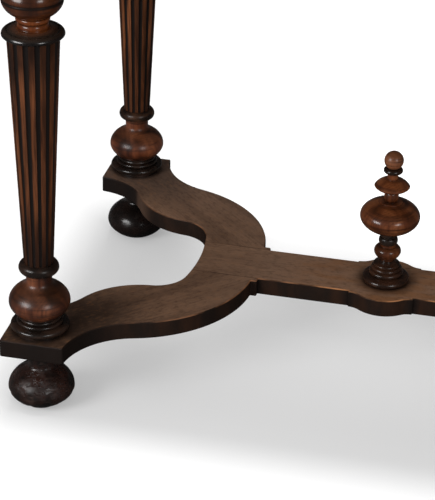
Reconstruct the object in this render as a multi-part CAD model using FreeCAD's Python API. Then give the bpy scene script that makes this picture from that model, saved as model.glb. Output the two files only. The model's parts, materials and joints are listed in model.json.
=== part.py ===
import FreeCAD, Part
import math
import os

from FreeCAD import Vector

os.makedirs("parts", exist_ok=True)

# All lengths are in millimetres, the floor is at height 0 and the middle of the table is at x = y = 0.

# Spacing of the four leg axes
leg_spacing_x = 835.0
leg_spacing_y = 490.5

# Fit of the glued joints
joint_clearance = 0.1
end_clearance = 1.0

# Bun foot, from the floor up
foot_sole_radius = 21.0
foot_sole_angle = 25.0
foot_radius = 43.8
foot_equator_rise = 23.5
foot_shoulder_radius = 25.5
foot_shoulder_rise = 29.5
foot_cove_rise = 8.0
foot_neck_radius = 17.0
foot_neck_length = 23.6
foot_socket_depth = 45.0

# Flat stretcher: a bar with hollow ends, and an arm from each corner
stretcher_thickness = 24.7
plinth_width = 85.0
bar_width = 84.4
bar_half_length = 261.0
bar_end_radius = 300.0
arm_root_distance = 170.0
arm_step_length = 8.6
arm_step_width = 7.5
arm_entry_angle = 5.0
arm_outer_radius = 99.0
arm_inner_radius = 90.0
arm_waist_radius = 100.0
arm_corner_radius = 45.0
arm_corner_offset = 52.0
arm_tongue_length = 60.0
arm_tongue_width = 24.0
arm_tongue_thickness = 8.0

# Swelling in the middle of the bar
swell_half_length = 44.0
swell_width = 120.0
swell_step = 2.5
swell_cove_radius = 24.0

# Round tenon that joins the leg, the plinth and the foot
leg_tenon_radius = 13.0

# Base ring of a leg: a set-back foot, a torus and two beads
base_foot_radius = 33.0
base_foot_height = 4.5
base_torus_radius = 38.5
base_torus_height = 8.0
base_bead_radius = 30.5
base_bead_height = 5.0
base_cap_radius = 27.5
base_cap_height = 5.0
base_bead_depth = 2.5
base_lip_rise = 1.5

# Lower bulb of a leg
bulb_foot_radius = 26.0
bulb_foot_angle = 30.0
bulb_radius = 40.0
bulb_equator_rise = 19.1
bulb_shoulder_radius = 24.0
bulb_shoulder_rise = 21.6
bulb_cove_rise = 9.0
bulb_neck_radius = 16.8
bulb_neck_length = 10.6
shoulder_angle = 155.0

# Collars above and below the shaft
lower_collar_radius = 26.2
lower_collar_height = 16.0
upper_collar_radius = 38.9
upper_collar_lower_rise = 3.8
upper_collar_upper_rise = 6.9
upper_collar_flat_radius = 25.0
upper_collar_top_angle = 165.0

# Tapered shaft with flutes over its whole length
shaft_length = 309.1
shaft_foot_radius = 19.2
shaft_head_radius = 32.7
flute_count = 14
flute_foot_radius = 2.1
flute_head_radius = 3.6
flute_run_out = 6.0
shaft_foot_tenon_radius = 9.0
shaft_head_tenon_radius = 12.0
shaft_socket_depth = 26.0

# Leg head: neck beads, a bulb with a turned line, a ring and the square block
head_neck_radius = 17.0
head_bead_radius = 19.2
head_bead_height = 9.6
head_quirk_height = 1.4
head_fillet_radius = 21.2
head_fillet_height = 5.0
head_cup_angle = 20.0
head_cup_rise = 21.6
head_radius = 38.0
head_line_depth = 1.5
head_line_height = 2.4
head_shoulder_radius = 24.0
head_shoulder_rise = 20.6
head_cove_rise = 6.0
head_ring_radius = 30.0
head_ring_height = 9.0
block_width = 76.0
block_height = 120.0

# Frieze rails with a bead below
rail_height = 78.0
rail_thickness = 22.0
rail_setback = 4.0
rail_tenon_length = 25.0
rail_tenon_thickness = 10.0
rail_tenon_height = 52.0
rail_bead_height = 9.0
rail_bead_projection = 4.0

# Top of three boards with a moulded edge
top_overhang = 38.0
top_slab_thickness = 22.0
top_field_rise = 3.0
top_corner_radius = 20.0
top_edge_radius = 14.0
top_edge_quirk = 2.0
top_field_corner_radius = 4.0
top_board_count = 3
top_tongue_thickness = 8.0
top_tongue_width = 24.0
top_tongue_margin = 70.0

# Buttons and screws that hold the top
groove_drop = 10.0
groove_height = 7.0
groove_depth = 8.0
button_width = 34.0
button_length = 30.0
button_height = 20.0
button_gap = 0.5
button_tongue_thickness = 6.0
button_spacing = 250.0
screw_offset = 17.0
screw_head_radius = 4.0
screw_head_height = 2.6
screw_radius = 2.0
screw_length = 32.0
screw_point_length = 5.0
screw_point_radius = 0.5

# Finial on the middle of the bar
finial_foot_radius = 27.0
finial_torus_radius = 32.2
finial_torus_height = 10.0
finial_low_bead_radius = 25.0
finial_low_bead_height = 8.0
finial_bead_radius = 21.5
finial_bead_height = 5.0
finial_bead_depth = 2.5
finial_cap_radius = 18.0
finial_cap_height = 3.2
finial_collar_radius = 10.0
finial_collar_height = 6.0
finial_waist_radius = 8.8
finial_waist_length = 1.0
knob_radius = 18.3
knob_foot_angle = 35.0
knob_lower_rise = 12.9
knob_lip_radius = 11.6
knob_upper_rise = 7.5
knob_top_radius = 10.8
knob_top_rise = 4.1
neck_ring_radius = 13.0
neck_ring_height = 9.6
neck_ring_flat_radius = 11.0
neck_throat_radius = 10.2
neck_throat_rise = 8.9
finial_bulb_foot_radius = 12.0
finial_bulb_foot_angle = 10.5
finial_bulb_radius = 40.6
finial_bulb_lower_rise = 23.4
finial_bulb_top_radius = 17.0
finial_bulb_top_angle = 165.5
finial_bulb_upper_rise = 20.7
finial_bulb_lip_radius = 15.5
finial_bulb_lip_height = 1.5
spire_throat_radius = 8.0
spire_barrel_radius = 9.8
spire_barrel_height = 13.9
spire_barrel_angle = 60.0
disc_radius = 24.0
disc_lower_angle = 16.0
disc_lower_rise = 8.6
disc_rim_angle = 58.0
disc_top_radius = 9.5
disc_upper_angle = 162.0
disc_upper_rise = 10.4
spire_neck_radius = 7.2
spire_neck_length = 9.0
top_ring_radius = 13.0
top_ring_height = 7.5
top_ring_flat_radius = 9.0
ball_radius = 13.1
ball_seat_drop = 10.7
finial_dowel_radius = 6.0
finial_dowel_depth = 18.0
spire_dowel_radius = 5.0
spire_dowel_depth = 15.0
ball_dowel_radius = 4.0
ball_dowel_depth = 8.0

# Headings of an outline, in degrees from level and outward
OUTWARD = 0.0
UPWARD = 90.0
INWARD = 180.0
FULL_TURN = 360.0
QUARTER_TURN = 90.0

# Heights worked out from the stack of pieces
foot_height = foot_equator_rise + foot_shoulder_rise + foot_cove_rise + foot_neck_length
stretcher_top = foot_height + stretcher_thickness
base_bead_base = base_foot_height + base_torus_height
base_cap_base = base_bead_base + base_bead_height
base_height = base_cap_base + base_cap_height + base_lip_rise
bulb_base = stretcher_top + base_height
bulb_height = bulb_equator_rise + bulb_shoulder_rise + bulb_cove_rise + bulb_neck_length
lower_collar_base = bulb_base + bulb_height
shaft_base = lower_collar_base + lower_collar_height
upper_collar_base = shaft_base + shaft_length
upper_collar_height = upper_collar_lower_rise + upper_collar_upper_rise
head_base = upper_collar_base + upper_collar_height
head_fillet_base = head_bead_height + head_quirk_height
head_cup_base = head_fillet_base + head_fillet_height
head_equator = head_cup_base + head_cup_rise
head_shoulder = head_equator + head_line_height + head_shoulder_rise
head_ring_base = head_shoulder + head_cove_rise
head_turned_height = head_ring_base + head_ring_height
block_base = head_base + head_turned_height
block_top = block_base + block_height
rail_base = block_top - rail_height

# Sizes shared by pieces that fit together
half_spacing_x = leg_spacing_x / 2
half_spacing_y = leg_spacing_y / 2
bar_half_width = bar_width / 2
plinth_half_width = plinth_width / 2
block_half_width = block_width / 2
bar_end_centre_x = bar_half_length + bar_end_radius
bar_corner_x = bar_end_centre_x - math.sqrt(bar_end_radius ** 2 - bar_half_width ** 2)
top_length = leg_spacing_x + block_width + 2 * top_overhang
top_depth = leg_spacing_y + block_width + 2 * top_overhang
top_board_depth = top_depth / top_board_count
tongue_level = foot_height + (stretcher_thickness - arm_tongue_thickness) / 2

CORNERS = {
    "front_left": (-1, -1),
    "front_right": (1, -1),
    "back_left": (-1, 1),
    "back_right": (1, 1),
}


def curve(start, leave, end, arrive):
    """Round edge in the XZ plane from start to end, with a heading in degrees at each end."""
    out = Vector(math.cos(math.radians(leave)), 0, math.sin(math.radians(leave)))
    back = Vector(math.cos(math.radians(arrive)), 0, math.sin(math.radians(arrive)))
    turn = math.radians(arrive - leave)
    chord = end - start
    cross = out.x * back.z - out.z * back.x
    reach_out = (chord.x * back.z - chord.z * back.x) / cross
    reach_back = (out.x * chord.z - out.z * chord.x) / cross
    hold = 4 / 3 * math.tan(turn / 4) / math.tan(turn / 2)
    bezier = Part.BezierCurve()
    bezier.setPoles([start, start + out * (reach_out * hold), end - back * (reach_back * hold), end])
    return bezier.toShape()


def turned(outline):
    """Solid turned about the Z axis from an outline of (radius, height) points, bottom to top.

    A point with two more numbers is reached by a round edge with those leaving and arriving headings.
    """
    point = Vector(outline[0][0], 0, outline[0][1])
    axis_foot = Vector(0, 0, point.z)
    edges = [Part.makeLine(axis_foot, point)]
    for entry in outline[1:]:
        target = Vector(entry[0], 0, entry[1])
        if len(entry) == 2:
            edges.append(Part.makeLine(point, target))
        else:
            edges.append(curve(point, entry[2], target, entry[3]))
        point = target
    axis_head = Vector(0, 0, point.z)
    if point.x > 0:
        edges.append(Part.makeLine(point, axis_head))
    edges.append(Part.makeLine(axis_head, axis_foot))
    face = Part.Face(Part.Wire(edges))
    return face.revolve(Vector(0, 0, 0), Vector(0, 0, 1), FULL_TURN)


def half_round(flat_radius, radius, base, height):
    """Two outline entries for a rounded bead that starts and ends at flat_radius."""
    return [
        (radius, base + height / 2, OUTWARD, UPWARD),
        (flat_radius, base + height, UPWARD, INWARD),
    ]


def hole(tenon_radius, base, depth):
    """Cutter for a round hole that takes a tenon."""
    return Part.makeCylinder(tenon_radius + joint_clearance, depth, Vector(0, 0, base))


def box(low_x, low_y, low_z, size_x, size_y, size_z):
    return Part.makeBox(size_x, size_y, size_z, Vector(low_x, low_y, low_z))


def placed(shape, x, y, z):
    moved = shape.copy()
    moved.translate(Vector(x, y, z))
    return moved


def rotated(shape, angle):
    moved = shape.copy()
    moved.rotate(Vector(0, 0, 0), Vector(0, 0, 1), angle)
    return moved


def mirrored(shape, sign_x, sign_y):
    moved = shape.copy()
    if sign_x < 0:
        moved = moved.mirror(Vector(0, 0, 0), Vector(1, 0, 0))
    if sign_y < 0:
        moved = moved.mirror(Vector(0, 0, 0), Vector(0, 1, 0))
    return moved


def write(shape, node):
    shape.exportStep("parts/" + node + ".step")


def arc_about(centre, start, end):
    """Arc of less than half a circle around a centre."""
    middle = (start - centre) + (end - centre)
    middle.normalize()
    return Part.Arc(start, centre + middle * (start - centre).Length, end).toShape()


def between(centre_a, radius_a, centre_b):
    """Point of the circle about centre_a that faces centre_b."""
    direction = centre_b - centre_a
    direction.normalize()
    return centre_a + direction * radius_a


def triangle_point(corner_a, side_a, corner_b, side_b):
    """Point at given distances from two corners, on the right of the way from a to b."""
    base = corner_b - corner_a
    along = (side_a ** 2 - side_b ** 2 + base.Length ** 2) / (2 * base.Length)
    across = math.sqrt(side_a ** 2 - along ** 2)
    base.normalize()
    return corner_a + base * along + Vector(base.y, -base.x, 0) * across


def plate(edges):
    """Flat board of the stretcher's thickness on a closed outline drawn at height 0."""
    face = Part.Face(Part.Wire(Part.__sortEdges__(edges)))
    return placed(face.extrude(Vector(0, 0, stretcher_thickness)), 0, 0, foot_height)


# Turned pieces of one leg, each with its lower end at height 0


def make_foot():
    shoulder = foot_equator_rise + foot_shoulder_rise
    foot = turned([
        (foot_sole_radius, 0),
        (foot_radius, foot_equator_rise, foot_sole_angle, UPWARD),
        (foot_shoulder_radius, shoulder, UPWARD, shoulder_angle),
        (foot_neck_radius, shoulder + foot_cove_rise, shoulder_angle, UPWARD),
        (foot_neck_radius, foot_height),
    ])
    return foot.cut(hole(leg_tenon_radius, foot_height - foot_socket_depth, foot_socket_depth))


def make_base_ring():
    torus_flat = base_torus_radius - base_torus_height / 2
    bead_flat = base_bead_radius - base_bead_depth
    cap_flat = base_cap_radius - base_bead_depth
    outline = [
        (base_foot_radius, 0),
        (base_foot_radius, base_foot_height),
        (torus_flat, base_foot_height),
    ]
    outline += half_round(torus_flat, base_torus_radius, base_foot_height, base_torus_height)
    outline.append((bead_flat, base_bead_base))
    outline += half_round(bead_flat, base_bead_radius, base_bead_base, base_bead_height)
    outline.append((cap_flat, base_cap_base))
    outline += half_round(cap_flat, base_cap_radius, base_cap_base, base_cap_height)
    outline.append((cap_flat, base_height))
    return turned(outline).cut(hole(leg_tenon_radius, 0, base_height))


def make_lower_bulb():
    tenon_length = base_height + stretcher_thickness + foot_socket_depth - end_clearance
    shoulder = bulb_equator_rise + bulb_shoulder_rise
    bulb = turned([
        (leg_tenon_radius, -tenon_length),
        (leg_tenon_radius, 0),
        (bulb_foot_radius, 0),
        (bulb_radius, bulb_equator_rise, bulb_foot_angle, UPWARD),
        (bulb_shoulder_radius, shoulder, UPWARD, shoulder_angle),
        (bulb_neck_radius, shoulder + bulb_cove_rise, shoulder_angle, UPWARD),
        (bulb_neck_radius, bulb_height),
    ])
    return bulb.cut(hole(shaft_foot_tenon_radius, bulb_height - shaft_socket_depth, shaft_socket_depth))


def make_lower_collar():
    middle = lower_collar_height / 2
    collar = turned([
        (bulb_neck_radius, 0),
        (lower_collar_radius, middle, OUTWARD, UPWARD),
        (shaft_foot_radius, lower_collar_height, UPWARD, INWARD),
    ])
    return collar.cut(hole(shaft_foot_tenon_radius, 0, lower_collar_height))


def flute_cutter(angle):
    """Tapered round cutter whose axis lies along the shaft's surface."""
    slant = Vector(shaft_head_radius - shaft_foot_radius, 0, shaft_length)
    growth = (flute_head_radius - flute_foot_radius) / slant.Length
    length = slant.Length + 2 * flute_run_out
    slant.normalize()
    start = Vector(shaft_foot_radius, 0, 0) - slant * flute_run_out
    foot_radius_out = flute_foot_radius - growth * flute_run_out
    head_radius_out = flute_head_radius + growth * flute_run_out
    return rotated(Part.makeCone(foot_radius_out, head_radius_out, length, start, slant), angle)


def make_shaft():
    foot_tenon = lower_collar_height + shaft_socket_depth - end_clearance
    head_tenon = upper_collar_height + shaft_socket_depth - end_clearance
    shaft = turned([
        (shaft_foot_tenon_radius, -foot_tenon),
        (shaft_foot_tenon_radius, 0),
        (shaft_foot_radius, 0),
        (shaft_head_radius, shaft_length),
        (shaft_head_tenon_radius, shaft_length),
        (shaft_head_tenon_radius, shaft_length + head_tenon),
    ])
    pitch = FULL_TURN / flute_count
    return shaft.cut([flute_cutter(QUARTER_TURN + number * pitch) for number in range(flute_count)])


def make_upper_collar():
    collar = turned([
        (shaft_head_radius, 0),
        (upper_collar_radius, upper_collar_lower_rise, OUTWARD, UPWARD),
        (upper_collar_flat_radius, upper_collar_height, UPWARD, upper_collar_top_angle),
    ])
    return collar.cut(hole(shaft_head_tenon_radius, 0, upper_collar_height))


def make_leg_head():
    line_radius = head_radius - head_line_depth
    line_middle = head_equator + head_line_height / 2
    outline = [(head_neck_radius, 0)]
    outline += half_round(head_neck_radius, head_bead_radius, 0, head_bead_height)
    outline += [(head_neck_radius, head_fillet_base), (head_bead_radius, head_fillet_base)]
    outline += half_round(head_bead_radius, head_fillet_radius, head_fillet_base, head_fillet_height)
    outline += [
        (head_radius, head_equator, head_cup_angle, UPWARD),
        (line_radius, line_middle),
        (head_radius, head_equator + head_line_height),
        (head_shoulder_radius, head_shoulder, UPWARD, shoulder_angle),
        (head_neck_radius, head_ring_base, shoulder_angle, UPWARD),
    ]
    outline += half_round(head_neck_radius, head_ring_radius, head_ring_base, head_ring_height)
    block = box(
        -block_half_width, -block_half_width, head_turned_height, block_width, block_width, block_height)
    head = turned(outline).fuse(block)
    return head.cut(hole(shaft_head_tenon_radius, 0, shaft_socket_depth))


# Frieze: each rail is made as the front one and turned to its side of the table


def rail_front_y(spacing_across):
    """Place of the rail's outer face."""
    return -(spacing_across / 2 + block_half_width - rail_setback)


def rail_tenons(spacing_along, spacing_across, play, end_play):
    """Tenons at both ends of a rail, or the cutters for their mortises."""
    span = spacing_along - block_width
    reach = span / 2 + rail_tenon_length + end_play
    thickness = rail_tenon_thickness + 2 * play
    height = rail_tenon_height + 2 * play
    low_y = rail_front_y(spacing_across) + (rail_thickness - thickness) / 2
    low_z = rail_base + (rail_height - height) / 2
    return box(-reach, low_y, low_z, 2 * reach, thickness, height)


def make_rail(spacing_along, spacing_across):
    span = spacing_along - block_width
    front = rail_front_y(spacing_across)
    rail = box(-span / 2, front, rail_base, span, rail_thickness, rail_height)
    groove = box(
        -span / 2,
        front + rail_thickness - groove_depth,
        block_top - groove_drop - groove_height,
        span,
        groove_depth,
        groove_height,
    )
    return rail.fuse(rail_tenons(spacing_along, spacing_across, 0, 0)).cut(groove)


def make_rail_bead(spacing_along, spacing_across):
    span = spacing_along - block_width
    front = rail_front_y(spacing_across)
    radius = rail_bead_height / 2
    nose = front - rail_bead_projection
    inner = front + rail_thickness
    start = -span / 2
    top_edge = Vector(start, nose + radius, rail_base)
    low_edge = Vector(start, nose + radius, rail_base - rail_bead_height)
    low_inner = Vector(start, inner, rail_base - rail_bead_height)
    top_inner = Vector(start, inner, rail_base)
    edges = [
        Part.Arc(top_edge, Vector(start, nose, rail_base - radius), low_edge).toShape(),
        Part.makeLine(low_edge, low_inner),
        Part.makeLine(low_inner, top_inner),
        Part.makeLine(top_inner, top_edge),
    ]
    return Part.Face(Part.Wire(edges)).extrude(Vector(span, 0, 0))


def make_button(x, spacing_across):
    inner = rail_front_y(spacing_across) + rail_thickness
    low_x = x - button_width / 2
    body = box(
        low_x, inner + button_gap, block_top - button_height, button_width, button_length, button_height)
    tongue_reach = groove_depth - end_clearance
    tongue = box(
        low_x,
        inner - tongue_reach,
        block_top - groove_drop - button_tongue_thickness,
        button_width,
        tongue_reach + button_gap,
        button_tongue_thickness,
    )
    return body.fuse(tongue).cut(make_screw(x, spacing_across, joint_clearance))


def make_screw(x, spacing_across, play):
    """Wood screw that points up into the top, or with play the cutter for its hole."""
    inner = rail_front_y(spacing_across) + rail_thickness
    screw = turned([
        (screw_head_radius + play, 0),
        (screw_radius + play, screw_head_height),
        (screw_radius + play, screw_length - screw_point_length),
        (screw_point_radius + play, screw_length + play),
    ])
    return placed(screw, x, inner + button_gap + screw_offset, block_top - button_height)


# Stretcher


def make_arm():
    """Arm of the corner where x and y are positive."""
    entry = math.radians(arm_entry_angle)
    near_x = half_spacing_x - plinth_half_width
    far_x = half_spacing_x + plinth_half_width
    near_y = half_spacing_y - plinth_half_width
    far_y = half_spacing_y + plinth_half_width
    outer_start = Vector(near_x, far_y, 0)
    corner = Vector(far_x, far_y, 0)
    inner_start = Vector(far_x, near_y, 0)

    # Outer edge: a hollow from the plinth, then a round that ends at the step beside the bar
    outer_end = Vector(arm_root_distance + arm_step_length, bar_half_width + arm_step_width, 0)
    step_corner = Vector(arm_root_distance, outer_end.y, 0)
    root_outer = Vector(arm_root_distance, bar_half_width, 0)
    hollow = outer_start + Vector(-math.cos(entry), math.sin(entry), 0) * arm_outer_radius
    toward = Vector(math.cos(entry), -math.sin(entry), 0)
    gap = hollow - outer_end
    reach = 2 * (arm_outer_radius + gap.dot(toward))
    round_radius = (gap.Length ** 2 - arm_outer_radius ** 2) / reach
    round_centre = outer_end + toward * round_radius
    outer_change = between(hollow, arm_outer_radius, round_centre)

    # Inner edge: a round from the plinth, a hollow waist, a tight corner and the bar's hollow end
    shoulder = inner_start + Vector(math.sin(entry), -math.cos(entry), 0) * arm_inner_radius
    end_centre = Vector(bar_end_centre_x, 0, 0)
    corner_run = math.sqrt((bar_end_radius - arm_corner_radius) ** 2 - arm_corner_offset ** 2)
    tight = Vector(bar_end_centre_x - corner_run, arm_corner_offset, 0)
    waist_reach = arm_inner_radius + arm_waist_radius
    waist = triangle_point(shoulder, waist_reach, tight, arm_waist_radius + arm_corner_radius)
    inner_change = between(shoulder, arm_inner_radius, waist)
    corner_start = between(tight, arm_corner_radius, waist)
    corner_end = between(end_centre, bar_end_radius, tight)
    root_inner = Vector(bar_corner_x, bar_half_width, 0)

    arm = plate([
        Part.makeLine(outer_start, corner),
        Part.makeLine(corner, inner_start),
        arc_about(shoulder, inner_start, inner_change),
        arc_about(waist, inner_change, corner_start),
        arc_about(tight, corner_start, corner_end),
        arc_about(end_centre, corner_end, root_inner),
        Part.makeLine(root_inner, root_outer),
        Part.makeLine(root_outer, step_corner),
        Part.makeLine(step_corner, outer_end),
        arc_about(round_centre, outer_end, outer_change),
        arc_about(hollow, outer_change, outer_start),
    ])
    leg_hole = placed(
        hole(leg_tenon_radius, foot_height, stretcher_thickness), half_spacing_x, half_spacing_y, 0)
    return arm.cut([leg_hole, arm_tongue(joint_clearance, end_clearance)])


def arm_tongue(play, end_play):
    """Loose tongue between the bar and the arm where x and y are positive, or the cutter for its slots."""
    middle_x = (arm_root_distance + bar_corner_x) / 2
    length = arm_tongue_length + 2 * end_play
    width = arm_tongue_width + 2 * end_play
    thickness = arm_tongue_thickness + 2 * play
    low = Vector(middle_x - length / 2, bar_half_width - width / 2, tongue_level - play)
    return box(low.x, low.y, low.z, length, width, thickness)


def swell_edges(sign_y):
    """One long edge of the bar, from its right corner to its left one."""
    shelf = bar_half_width + swell_step
    rise = swell_width / 2 - shelf
    slope = 2 * math.atan(rise / swell_half_length)
    crown_radius = swell_half_length / math.sin(slope) - swell_cove_radius
    crown = Vector(0, sign_y * (swell_width / 2 - crown_radius), 0)
    edges = []
    ends = []
    for sign_x in (1, -1):
        corner = Vector(sign_x * bar_corner_x, sign_y * bar_half_width, 0)
        step_foot = Vector(sign_x * swell_half_length, sign_y * bar_half_width, 0)
        step_head = Vector(sign_x * swell_half_length, sign_y * shelf, 0)
        cove = Vector(sign_x * swell_half_length, sign_y * (shelf + swell_cove_radius), 0)
        change = between(cove, swell_cove_radius, crown)
        edges += [
            Part.makeLine(corner, step_foot),
            Part.makeLine(step_foot, step_head),
            arc_about(cove, step_head, change),
        ]
        ends.append(change)
    edges.append(arc_about(crown, ends[0], ends[1]))
    return edges


def make_bar():
    edges = swell_edges(1) + swell_edges(-1)
    for sign_x in (1, -1):
        upper = Vector(sign_x * bar_corner_x, bar_half_width, 0)
        lower = Vector(sign_x * bar_corner_x, -bar_half_width, 0)
        edges.append(arc_about(Vector(sign_x * bar_end_centre_x, 0, 0), upper, lower))
    cutters = [hole(finial_dowel_radius, stretcher_top - finial_dowel_depth, finial_dowel_depth)]
    for signs in CORNERS.values():
        cutters.append(mirrored(arm_tongue(joint_clearance, end_clearance), *signs))
    return plate(edges).cut(cutters)


# Finial, as a stack of turned pieces


def make_finial():
    """Pieces of the finial by name, each in its place."""
    pieces = {}
    bead_base = finial_torus_height + finial_low_bead_height
    cap_base = bead_base + finial_bead_height
    collar_base = cap_base + finial_cap_height
    base_total = collar_base + finial_collar_height
    low_bead_flat = finial_low_bead_radius - finial_bead_depth
    bead_flat = finial_bead_radius - finial_bead_depth
    outline = [(finial_foot_radius, 0)]
    outline += half_round(finial_foot_radius, finial_torus_radius, 0, finial_torus_height)
    outline.append((low_bead_flat, finial_torus_height))
    outline += half_round(
        low_bead_flat, finial_low_bead_radius, finial_torus_height, finial_low_bead_height)
    outline.append((bead_flat, bead_base))
    outline += half_round(bead_flat, finial_bead_radius, bead_base, finial_bead_height)
    outline += [
        (finial_cap_radius, cap_base),
        (finial_cap_radius, collar_base),
        (finial_collar_radius, collar_base),
        (finial_collar_radius, base_total),
    ]
    base = turned(outline).cut(hole(finial_dowel_radius, 0, base_total))
    level = stretcher_top
    pieces["finial_base"] = placed(base, 0, 0, level)

    knob_middle = finial_waist_length + knob_lower_rise
    knob_lip = knob_middle + knob_upper_rise
    stem_total = knob_lip + knob_top_rise
    neck_total = neck_ring_height + neck_throat_rise
    dowel_top = stem_total + neck_total + spire_dowel_depth - end_clearance
    stem = turned([
        (finial_dowel_radius, end_clearance - base_total - finial_dowel_depth),
        (finial_dowel_radius, 0),
        (finial_waist_radius, 0),
        (finial_waist_radius, finial_waist_length),
        (knob_radius, knob_middle, knob_foot_angle, UPWARD),
        (knob_lip_radius, knob_lip, UPWARD, INWARD),
        (knob_top_radius, knob_lip),
        (knob_top_radius, stem_total),
        (spire_dowel_radius, stem_total),
        (spire_dowel_radius, dowel_top),
    ])
    level += base_total
    pieces["finial_stem"] = placed(stem, 0, 0, level)

    outline = [(neck_ring_flat_radius, 0)]
    outline += half_round(neck_ring_flat_radius, neck_ring_radius, 0, neck_ring_height)
    outline += [(neck_throat_radius, neck_ring_height), (neck_throat_radius, neck_total)]
    ring = turned(outline).cut(hole(spire_dowel_radius, 0, neck_total))
    level += stem_total
    pieces["finial_neck_ring"] = placed(ring, 0, 0, level)

    bulb_lip = finial_bulb_lower_rise + finial_bulb_upper_rise
    bulb_total = bulb_lip + finial_bulb_lip_height
    bulb = turned([
        (finial_bulb_foot_radius, 0),
        (finial_bulb_radius, finial_bulb_lower_rise, finial_bulb_foot_angle, UPWARD),
        (finial_bulb_top_radius, bulb_lip, UPWARD, finial_bulb_top_angle),
        (finial_bulb_lip_radius, bulb_lip),
        (finial_bulb_lip_radius, bulb_total),
    ])
    bulb = bulb.cut([
        hole(spire_dowel_radius, 0, spire_dowel_depth),
        hole(spire_dowel_radius, bulb_total - spire_dowel_depth, spire_dowel_depth),
    ])
    level += neck_total
    pieces["finial_bulb"] = placed(bulb, 0, 0, level)

    barrel_middle = spire_barrel_height / 2
    disc_middle = spire_barrel_height + disc_lower_rise
    disc_top = disc_middle + disc_upper_rise
    spire_total = disc_top + spire_neck_length
    spire = turned([
        (spire_dowel_radius, end_clearance - spire_dowel_depth),
        (spire_dowel_radius, 0),
        (spire_throat_radius, 0),
        (spire_barrel_radius, barrel_middle, spire_barrel_angle, UPWARD),
        (spire_throat_radius, spire_barrel_height, UPWARD, INWARD - spire_barrel_angle),
        (disc_radius, disc_middle, disc_lower_angle, disc_rim_angle),
        (disc_top_radius, disc_top, INWARD - disc_rim_angle, disc_upper_angle),
        (spire_neck_radius, disc_top),
        (spire_neck_radius, spire_total),
        (ball_dowel_radius, spire_total),
        (ball_dowel_radius, spire_total + top_ring_height + ball_dowel_depth - end_clearance),
    ])
    level += bulb_total
    pieces["finial_spire"] = placed(spire, 0, 0, level)

    outline = [(top_ring_flat_radius, 0)]
    outline += half_round(top_ring_flat_radius, top_ring_radius, 0, top_ring_height)
    top_ring = turned(outline).cut(hole(ball_dowel_radius, 0, top_ring_height))
    level += spire_total
    pieces["finial_top_ring"] = placed(top_ring, 0, 0, level)

    seat_radius = math.sqrt(ball_radius ** 2 - ball_seat_drop ** 2)
    seat_angle = math.degrees(math.acos(ball_seat_drop / ball_radius))
    ball = turned([
        (seat_radius, 0),
        (ball_radius, ball_seat_drop, seat_angle, UPWARD),
        (0, ball_seat_drop + ball_radius, UPWARD, INWARD),
    ])
    ball = ball.cut(hole(ball_dowel_radius, 0, ball_dowel_depth))
    level += top_ring_height
    pieces["finial_ball"] = placed(ball, 0, 0, level)
    return pieces


# Top


def rounded_slab(length, depth, base, thickness, corner_radius):
    """Board with rounded upright corners."""
    slab = box(-length / 2, -depth / 2, base, length, depth, thickness)
    upright = [edge for edge in slab.Edges if edge.BoundBox.ZLength > thickness / 2]
    return slab.makeFillet(corner_radius, upright)


def make_top():
    slab = rounded_slab(top_length, top_depth, block_top, top_slab_thickness, top_corner_radius)
    slab_top = block_top + top_slab_thickness
    rim = [edge for edge in slab.Edges if edge.BoundBox.ZMin > slab_top - joint_clearance]
    slab = slab.makeFillet(top_edge_radius, rim)
    inset = 2 * (top_edge_radius + top_edge_quirk)
    field = rounded_slab(
        top_length - inset, top_depth - inset, slab_top, top_field_rise, top_field_corner_radius)
    return slab.fuse(field).removeSplitter()


def top_tongue(seam_y, play, end_play):
    """Loose tongue in a seam of the top, or the cutter for its slots."""
    length = top_length - 2 * top_tongue_margin + 2 * end_play
    width = top_tongue_width + 2 * end_play
    thickness = top_tongue_thickness + 2 * play
    low_z = block_top + (top_slab_thickness - thickness) / 2
    return box(-length / 2, seam_y - width / 2, low_z, length, width, thickness)


# Build and write every node

leg_pieces = [
    ("foot", make_foot(), 0),
    ("base_ring", make_base_ring(), stretcher_top),
    ("lower_bulb", make_lower_bulb(), bulb_base),
    ("lower_collar", make_lower_collar(), lower_collar_base),
    ("shaft", make_shaft(), shaft_base),
    ("upper_collar", make_upper_collar(), upper_collar_base),
]
leg_head = make_leg_head()
arm = make_arm()
tongue = arm_tongue(0, 0)

SIDES = [
    ("front", leg_spacing_x, leg_spacing_y, 0, (-button_spacing, 0, button_spacing)),
    ("right", leg_spacing_y, leg_spacing_x, QUARTER_TURN, (0,)),
    ("back", leg_spacing_x, leg_spacing_y, 2 * QUARTER_TURN, (-button_spacing, 0, button_spacing)),
    ("left", leg_spacing_y, leg_spacing_x, 3 * QUARTER_TURN, (0,)),
]

mortises = []
buttons = []
screws = []
screw_holes = []
for side, along, across, angle, places in SIDES:
    write(rotated(make_rail(along, across), angle), "frieze_rail_" + side)
    write(rotated(make_rail_bead(along, across), angle), "frieze_bead_" + side)
    mortises.append(rotated(rail_tenons(along, across, joint_clearance, end_clearance), angle))
    for x in places:
        buttons.append(rotated(make_button(x, across), angle))
        screws.append(rotated(make_screw(x, across, 0), angle))
        screw_holes.append(rotated(make_screw(x, across, joint_clearance), angle))
write(Part.makeCompound(buttons), "top_buttons")
write(Part.makeCompound(screws), "top_screws")

for corner, (sign_x, sign_y) in CORNERS.items():
    leg_x = sign_x * half_spacing_x
    leg_y = sign_y * half_spacing_y
    for name, shape, level in leg_pieces:
        write(placed(shape, leg_x, leg_y, level), name + "_" + corner)
    write(placed(leg_head, leg_x, leg_y, head_base).cut(mortises), "leg_head_" + corner)
    write(mirrored(arm, sign_x, sign_y), "stretcher_arm_" + corner)

write(make_bar(), "stretcher_bar")
write(Part.makeCompound([mirrored(tongue, *signs) for signs in CORNERS.values()]), "stretcher_tongues")

for node, piece in make_finial().items():
    write(piece, node)

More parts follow.
